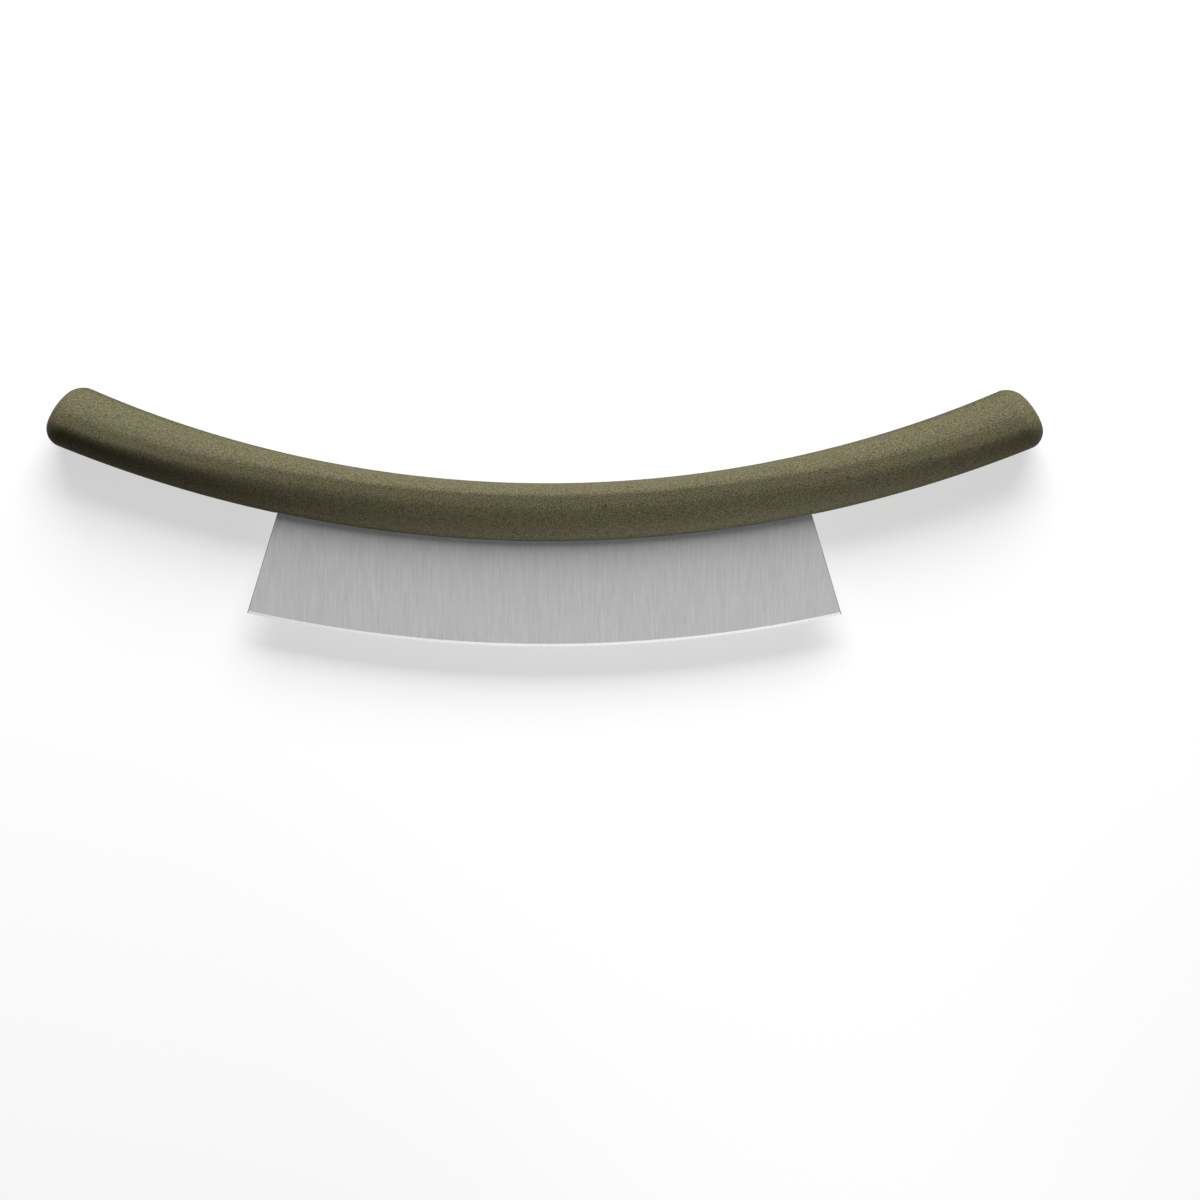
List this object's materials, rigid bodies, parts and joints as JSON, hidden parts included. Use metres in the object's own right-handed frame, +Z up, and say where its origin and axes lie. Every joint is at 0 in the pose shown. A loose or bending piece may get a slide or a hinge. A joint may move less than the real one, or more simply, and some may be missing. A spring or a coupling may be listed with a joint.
{
  "type": "mezzaluna",
  "caption": "Two-handed rocking herb knife: a long curved round-ended handle of wood-fibre composite over a wide thin blade with a curved cutting edge.",
  "frame": {"origin": "on the flat band that the handle rests on, at the middle of the handle's length and of the band's width", "axes": "+X along the handle from the left grip to the right grip, +Y in the blade's plane away from the cutting edge, +Z up, from the resting face to the front"},
  "size_m": [0.385, 0.0996, 0.022],
  "materials": {
    "composite": "matt, fine speckle of wood fibre, olive",
    "blade_steel": "finely brushed up and down",
    "seal": "matt",
    "pin_steel": "turned",
    "dowel_wood": "plain beech"
  },
  "bodies": {
    "root": {"rear_scale": "composite", "front_scale": "composite", "blade": "blade_steel", "slot_seal": "seal", "tang_pin_1": "pin_steel", "tang_pin_2": "pin_steel", "tang_pin_3": "pin_steel", "tang_pin_4": "pin_steel", "tang_pin_5": "pin_steel", "tang_pin_6": "pin_steel", "grip_dowel_left_outer": "dowel_wood", "grip_dowel_left_inner": "dowel_wood", "grip_dowel_right_inner": "dowel_wood", "grip_dowel_right_outer": "dowel_wood"}
  },
  "joints": []
}
